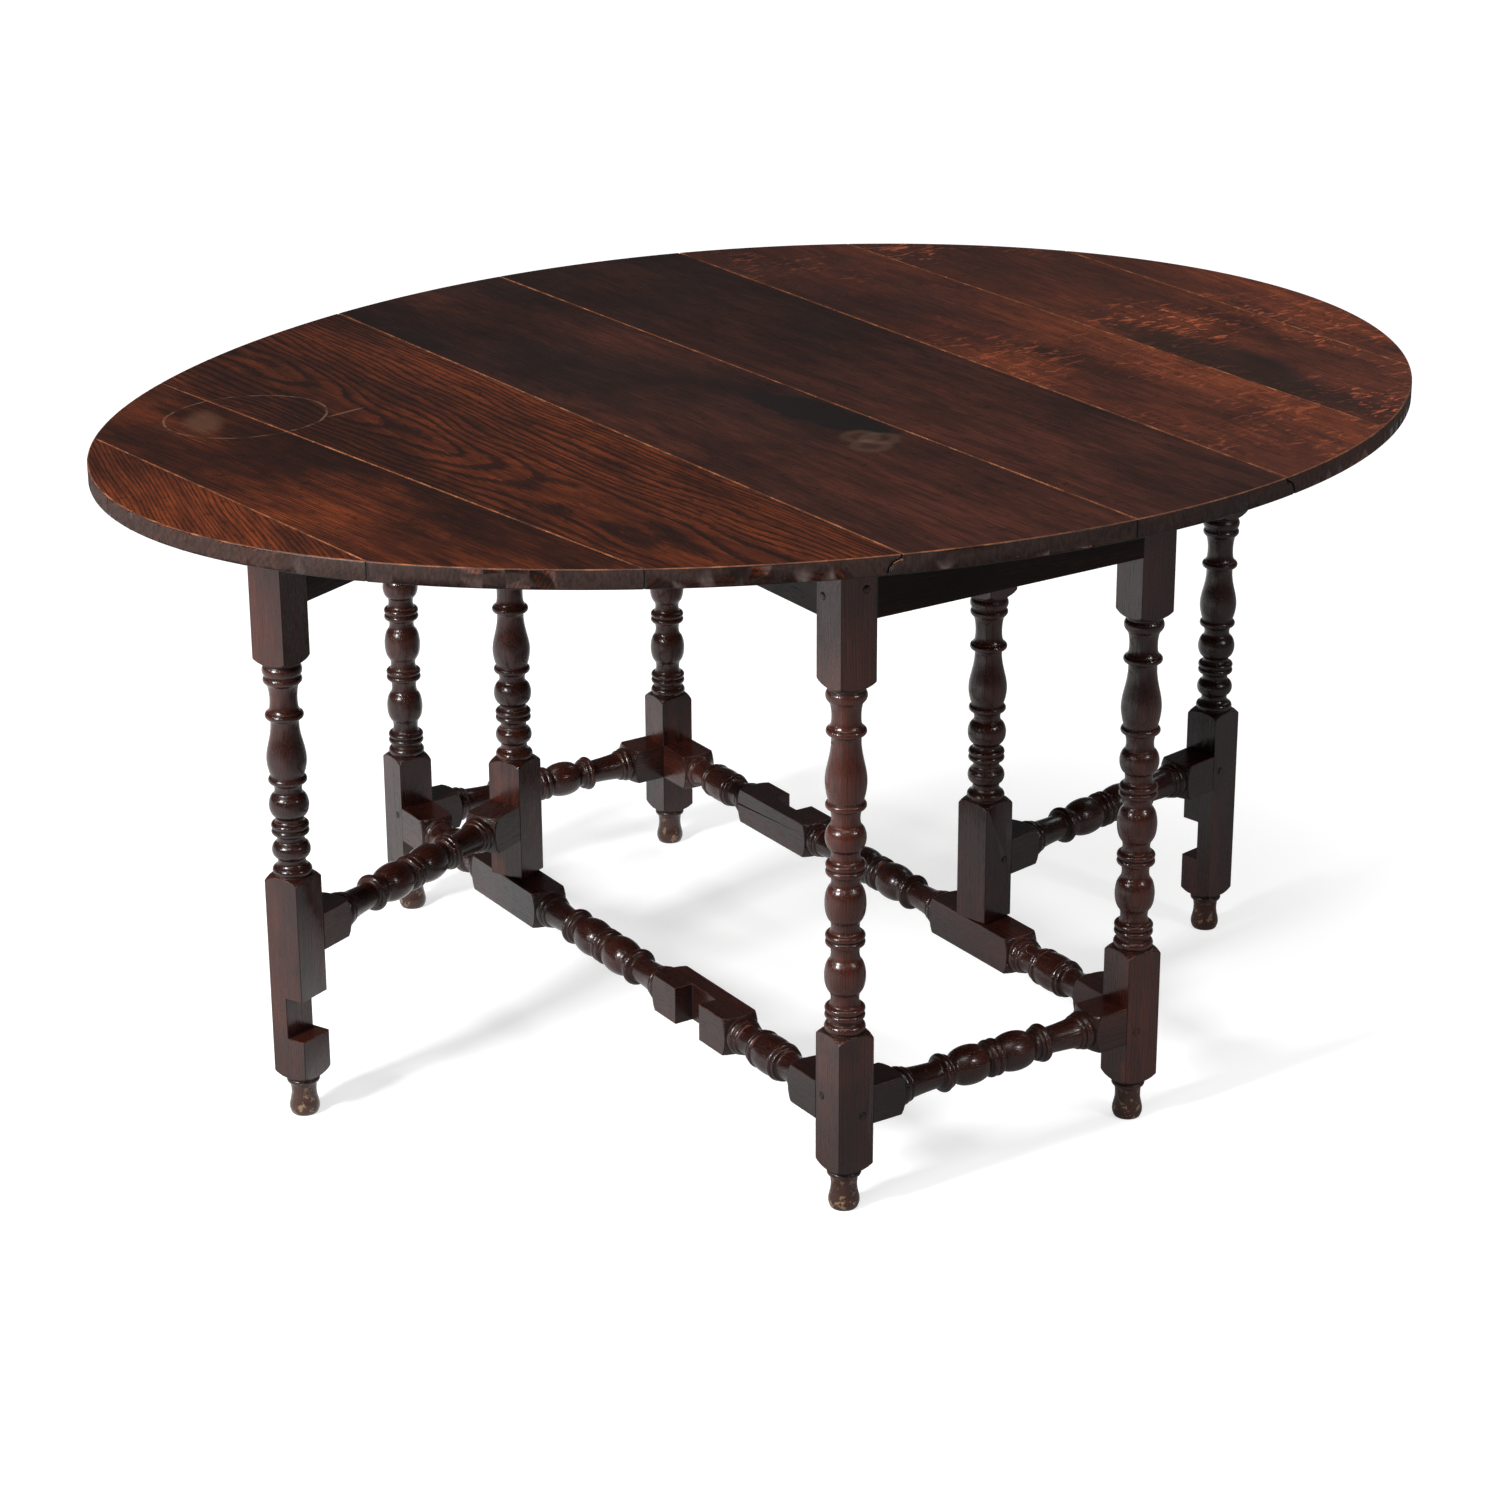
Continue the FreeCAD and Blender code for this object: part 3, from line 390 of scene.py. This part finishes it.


# Each board's tones, its grain's yaw and pitch in degrees, how far aside and deep its tree's heart lies in
# metres, and what oak() takes.
# Some boards get painted shade over their -X end.
BOARDS = {
    "leaf_a_board_inner": dict(tones=LEAF_TONES, yaw=3.0, pitch=1.6, aside=-0.02, deep=-0.10, ring=0.0058,
                               waver=0.05, mottle=0.55, contrast=1.0, marks=leaf_marks),
    "leaf_a_board_middle": dict(tones=LEAF_TONES, yaw=6.5, pitch=0.4, aside=0.16, deep=-0.06, ring=0.0030,
                                waver=0.02, mottle=0.75, marks=leaf_marks),
    "leaf_a_board_outer": dict(tones=LEAF_TONES, yaw=-14.0, pitch=0.8, aside=0.20, deep=-0.09, ring=0.0042,
                               waver=0.03, mottle=0.50, contrast=0.8),
    "top_board_front": dict(tones=MIDDLE_TONES, yaw=1.0, pitch=0.3, aside=0.19, deep=-0.05, ring=0.0022,
                            waver=0.02, mottle=0.6, contrast=0.8, marks=middle_marks),
    "top_board_back": dict(tones=MIDDLE_TONES, yaw=2.0, pitch=0.4, aside=-0.22, deep=-0.06, ring=0.0024,
                           waver=0.02, mottle=0.5, painted_end_shade=0.6, contrast=0.8, marks=middle_marks),
    "leaf_b_board_inner": dict(tones=BACK_TONES_WITH_PAINTED_SHEEN, yaw=-1.0, pitch=0.3, aside=0.25, deep=-0.02, ring=0.0026,
                               waver=0.02, mottle=0.6, fleck=0.3, painted_end_shade=0.5, contrast=0.8),
    "leaf_b_board_middle": dict(tones=BACK_TONES_WITH_PAINTED_SHEEN, yaw=-2.0, pitch=0.5, aside=0.30, deep=-0.01, ring=0.0028,
                                waver=0.03, mottle=0.5, fleck=0.9, painted_end_shade=0.5, contrast=0.7, marks=back_marks),
    "leaf_b_board_outer": dict(tones=BACK_TONES_WITH_PAINTED_SHEEN, yaw=-4.0, pitch=0.5, aside=0.22, deep=-0.03, ring=0.0028,
                               waver=0.03, mottle=0.5, fleck=0.5, contrast=0.8)}

BOARD_EDGE = 0.0015
FRAME_EDGE = 0.0008

for node, look in BOARDS.items():
    look = dict(look)
    middle = centre(node)
    heart = (middle.x, middle.y + look.pop("aside"), middle.z + look.pop("deep"))
    along = tilted(look.pop("yaw"), look.pop("pitch"))
    material = oak("oak_" + node, heart, along, gloss=(0.24, 0.38), specular=0.2, bump=0.4, rim=True,
                   specks=0.5, **look)
    dress(node, material, WORN_TOP_WITH_PAINTED_LIGHT, width=BOARD_EDGE, segments=3)

# The turnings get grime and painted shade in their grooves.
TURNED = dict(tones=TURNED_TONES, ring=0.0026, waver=0.012, mottle=0.6, gloss=(0.16, 0.26), specular=0.45,
              contrast=0.5, crevices=1.0)
# Each upright and bar lies at its own place by its tree's heart, so no two have the same figure.
uprights = sorted(n for n in nodes if n.startswith("leg_") or n.endswith(("_post", "_leg")))
for index, node in enumerate(uprights):
    middle = centre(node)
    heart = (middle.x + 0.05 * math.cos(2.4 * index), middle.y + 0.05 * math.sin(2.4 * index), 0.13 * index)
    dress(node, oak("oak_" + node, heart, ALONG_Z, marks=foot_marks, **TURNED), WORN_FRAME_WITH_PAINTED_LIGHT, width=FRAME_EDGE)


def plan_angle(first, second):
    """Direction in plan from one node's middle to another's, in radians."""
    step = centre(second) - centre(first)
    return math.atan2(step.y, step.x)


SWING = {gate: plan_angle(gate + "_post", gate + "_leg") for gate in ("gate_a", "gate_b")}
BARS = {"stretcher_front": ALONG_X, "stretcher_back": ALONG_X, "stretcher_left": ALONG_Y,
        "stretcher_right": ALONG_Y}
RAILS = {"apron_front": ALONG_X, "apron_back": ALONG_X, "apron_left": ALONG_Y, "apron_right": ALONG_Y}
for gate, angle in SWING.items():
    BARS[gate + "_stretcher"] = (0.0, 0.0, angle)
    RAILS[gate + "_rail"] = (0.0, 0.0, angle)

for index, (node, along) in enumerate(BARS.items()):
    middle = centre(node)
    heart = (middle.x + 0.04, middle.y - 0.045, middle.z - 0.05 + 0.01 * index)
    dress(node, oak("oak_" + node, heart, along, **TURNED), WORN_FRAME_WITH_PAINTED_LIGHT, width=FRAME_EDGE)

for index, (node, along) in enumerate(RAILS.items()):
    middle = centre(node)
    heart = (middle.x + 0.03, middle.y + 0.05, middle.z - 0.12 + 0.02 * index)
    # The rails get grime and painted shade in their crevices as well.
    material = oak("oak_" + node, heart, along, RAIL_TONES, ring=0.0030, waver=0.02, mottle=0.6,
                   gloss=(0.34, 0.50), specular=0.12, contrast=0.6, crevices=0.8)
    dress(node, material, WORN_FRAME_WITH_PAINTED_LIGHT, width=FRAME_EDGE)

PEG = oak("oak_pegs", (0.02, 0.01, 0.3), ALONG_X, TURNED_TONES, ring=0.002, mottle=0.8, gloss=(0.3, 0.45))
BLOCK = oak("oak_glue_blocks", (0.0, 0.02, 0.6), ALONG_X, RAIL_TONES, ring=0.003, gloss=(0.5, 0.7))
for node in nodes:
    if node.endswith(("pegs", "dowels")):
        dress(node, PEG)
    elif node == "glue_blocks":
        dress(node, BLOCK, WORN_FRAME_WITH_PAINTED_LIGHT, width=FRAME_EDGE)
    elif "hinge" in node or node.endswith("screws"):
        dress(node, IRON)


# ---------------------------------------------------------------- floor, light and camera

# The floor and the backdrop glow white to the camera and hardly at all to other rays, so they don't fog the
# wax. In reflections the floor is darker too, but for a bright pool on the lit side.
FLOOR_HALF = 40.0
FLOOR_SUNK = 0.0005                 # keeps the floor clear of the feet
FLOOR_GLOW = (0.04, 0.68)           # to other rays, and to the camera
POOL_GLOW = (0.1, 0.9)              # what reflections see besides, away from the lit side and on it
LIT_SIDE = (-0.84, -0.54)
WORLD_GLOW = (0.07, 1.0)            # the backdrop's, to other rays and to the camera

bpy.ops.mesh.primitive_plane_add(size=2 * FLOOR_HALF, location=(0, 0, -FLOOR_SUNK))
floor = bpy.context.object
floor.name = "floor"
paper = Shader("paper")
paper_grain = paper.noise(paper.place, 30.0, 2.0)
paper_white = paper.mix(paper_grain, (0.49, 0.49, 0.49), (0.51, 0.51, 0.51))
rays = paper.add("LightPath").outputs
to_lit_side = paper.vector("DOT_PRODUCT", paper.place, (*LIT_SIDE, 0.0)).node.outputs["Value"]
pool = paper.math("MULTIPLY", paper.fade(to_lit_side, -0.5, 0.6, *POOL_GLOW), rays["Is Glossy Ray"])
glow = paper.math("ADD", pool, paper.fade(rays["Is Camera Ray"], 0.0, 1.0, *FLOOR_GLOW))
paper_color = paper.mix(rays["Is Glossy Ray"], paper_white, (0.18, 0.18, 0.18))
paper_normal = paper.bump(paper_grain, 0.0002, 0.2)
floor.data.materials.append(paper.finish(paper_color, 0.8, paper_normal, specular=0.1))
paper.surface.inputs["Emission Color"].default_value = (1.0, 1.0, 1.0, 1.0)
paper.put(paper.surface.inputs["Emission Strength"], glow)

CAMERA_AZIMUTH = -33.19
CAMERA_ELEVATION = 21.29
CAMERA_ROLL = -0.27
CAMERA_DISTANCE = 3.878
LENS = 89.7
AIM = Vector((0.151, -0.117, 0.400))


def towards(azimuth, elevation):
    az, el = math.radians(azimuth), math.radians(elevation)
    return Vector((math.cos(az) * math.cos(el), math.sin(az) * math.cos(el), math.sin(el)))


def looking(away, roll=0.0):
    """Rotation that looks against the direction away, upright but for the roll in degrees."""
    return away.to_track_quat("Z", "Y").to_matrix().to_4x4() @ Matrix.Rotation(math.radians(roll), 4, "Z")


camera = bpy.data.objects.new("camera", bpy.data.cameras.new("camera"))
bpy.context.scene.collection.objects.link(camera)
away = towards(CAMERA_AZIMUTH, CAMERA_ELEVATION)
camera.matrix_world = Matrix.Translation(AIM + CAMERA_DISTANCE * away) @ looking(away, CAMERA_ROLL)
camera.data.lens = LENS
camera.data.sensor_width = 36.0
camera.data.clip_end = 200.0
bpy.context.scene.camera = camera


def softbox(name, azimuth, elevation, distance, size, power, aim=Vector((0, 0, 0.4))):
    light = bpy.data.lights.new(name, "AREA")
    light.shape = "RECTANGLE"
    light.size, light.size_y = size
    light.energy = power
    obj = bpy.data.objects.new(name, light)
    bpy.context.scene.collection.objects.link(obj)
    direction = towards(azimuth, elevation)
    obj.matrix_world = Matrix.Translation(aim + distance * direction) @ looking(direction)


softbox("overhead", CAMERA_AZIMUTH - 20, 80, 3.4, (2.2, 2.2), 22)
softbox("key", CAMERA_AZIMUTH - 48, 28, 3.2, (0.42, 0.62), 130)
softbox("fill", CAMERA_AZIMUTH + 54, 30, 3.8, (0.25, 0.60), 30)
softbox("back", CAMERA_AZIMUTH + 140, 40, 4.2, (1.2, 0.8), 12)

sky = bpy.data.objects.new("sky", bpy.data.lights.new("sky", "SUN"))
bpy.context.scene.collection.objects.link(sky)
sky.data.energy = 1.9
sky.data.angle = math.radians(50)
sky.matrix_world = looking(towards(CAMERA_AZIMUTH - 30, 75))

world = bpy.data.worlds.new("studio")
bpy.context.scene.world = world
world.use_nodes = True
background = world.node_tree.nodes["Background"]
background.inputs["Color"].default_value = (1.0, 1.0, 1.0, 1.0)
strength = world.node_tree.nodes.new("ShaderNodeMapRange")
strength.inputs["To Min"].default_value, strength.inputs["To Max"].default_value = WORLD_GLOW
seen = world.node_tree.nodes.new("ShaderNodeLightPath").outputs["Is Camera Ray"]
world.node_tree.links.new(seen, strength.inputs["Value"])
world.node_tree.links.new(strength.outputs["Result"], background.inputs["Strength"])
bpy.context.scene.view_settings.view_transform = "Standard"
